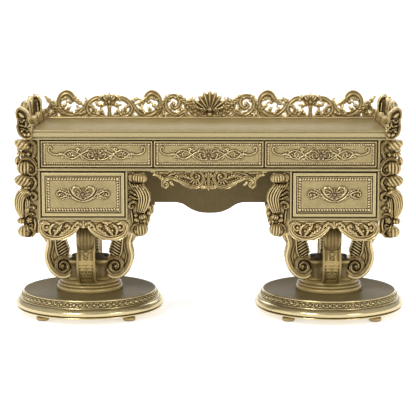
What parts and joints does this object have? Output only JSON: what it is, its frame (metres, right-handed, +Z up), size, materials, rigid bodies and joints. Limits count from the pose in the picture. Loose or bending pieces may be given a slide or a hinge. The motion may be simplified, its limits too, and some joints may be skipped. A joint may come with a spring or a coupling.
{
  "type": "kneehole vanity desk",
  "caption": "Carved kneehole vanity desk with a pierced gallery round the top, sliding drawers, and scroll-leg pedestals on round moulded plinths.",
  "frame": {"origin": "on the floor, midway between the two plinths, at the bottom centre of the box", "axes": "+X to the sitter's right along the desk, -Y out of the drawer fronts towards the sitter, +Z up"},
  "size_m": [1.753, 0.672, 0.983],
  "materials": {
    "antique_gold": "antique gold lacquer on wood, satin to glossy, brown glaze in the recesses",
    "carved_gold": "antique gold lacquer on carving, rubbed bright on the high points, dark glaze in the hollows",
    "dark_gold": "darker gold lacquer, satin",
    "aged_bronze": "aged bronze, dull polish",
    "drawer_wood": "plain clear-lacquered boards"
  },
  "bodies": {
    "carcass": {"centre_apron": "carved_gold", "desktop": "antique_gold", "drawer_deck": "antique_gold", "left_apron": "carved_gold", "left_bottom_panel": "antique_gold", "left_front_inner_foot": "dark_gold", "left_front_leg": "carved_gold", "left_front_outer_foot": "dark_gold", "left_gallery": "carved_gold", "left_hub": "carved_gold", "left_inner_front_column": "carved_gold", "left_inner_leg": "carved_gold", "left_inner_rear_column": "carved_gold", "left_inner_side": "antique_gold", "left_outer_front_column": "carved_gold", "left_outer_leg": "carved_gold", "left_outer_rear_column": "carved_gold", "left_outer_side": "antique_gold", "left_plinth": "antique_gold", "left_rear_inner_foot": "dark_gold", "left_rear_leg": "carved_gold", "left_rear_outer_foot": "dark_gold", "modesty_panel": "dark_gold", "rear_gallery": "carved_gold", "rear_panel": "dark_gold", "right_apron": "carved_gold", "right_bottom_panel": "antique_gold", "right_front_inner_foot": "dark_gold", "right_front_leg": "carved_gold", "right_front_outer_foot": "dark_gold", "right_gallery": "carved_gold", "right_hub": "carved_gold", "right_inner_front_column": "carved_gold", "right_inner_leg": "carved_gold", "right_inner_rear_column": "carved_gold", "right_inner_side": "antique_gold", "right_outer_front_column": "carved_gold", "right_outer_leg": "carved_gold", "right_outer_rear_column": "carved_gold", "right_outer_side": "antique_gold", "right_plinth": "antique_gold", "right_rear_inner_foot": "dark_gold", "right_rear_leg": "carved_gold", "right_rear_outer_foot": "dark_gold"},
    "upper_left_drawer": {"upper_left_drawer_front": "antique_gold", "upper_left_drawer_knob": "aged_bronze", "upper_left_drawer_tray": "drawer_wood"},
    "upper_centre_drawer": {"upper_centre_drawer_front": "antique_gold", "upper_centre_drawer_knob": "aged_bronze", "upper_centre_drawer_tray": "drawer_wood"},
    "upper_right_drawer": {"upper_right_drawer_front": "antique_gold", "upper_right_drawer_knob": "aged_bronze", "upper_right_drawer_tray": "drawer_wood"},
    "lower_left_drawer": {"lower_left_drawer_front": "antique_gold", "lower_left_drawer_knob": "aged_bronze", "lower_left_drawer_tray": "drawer_wood"},
    "lower_right_drawer": {"lower_right_drawer_front": "antique_gold", "lower_right_drawer_knob": "aged_bronze", "lower_right_drawer_tray": "drawer_wood"}
  },
  "joints": [
    {"name": "upper_left_slide", "type": "slide", "parent": "carcass", "child": "upper_left_drawer", "axis": [0, -1, 0], "range_m": [0, 0.33]},
    {"name": "upper_centre_slide", "type": "slide", "parent": "carcass", "child": "upper_centre_drawer", "axis": [0, -1, 0], "range_m": [0, 0.33]},
    {"name": "upper_right_slide", "type": "slide", "parent": "carcass", "child": "upper_right_drawer", "axis": [0, -1, 0], "range_m": [0, 0.33]},
    {"name": "lower_left_slide", "type": "slide", "parent": "carcass", "child": "lower_left_drawer", "axis": [0, -1, 0], "range_m": [0, 0.33]},
    {"name": "lower_right_slide", "type": "slide", "parent": "carcass", "child": "lower_right_drawer", "axis": [0, -1, 0], "range_m": [0, 0.33]}
  ]
}
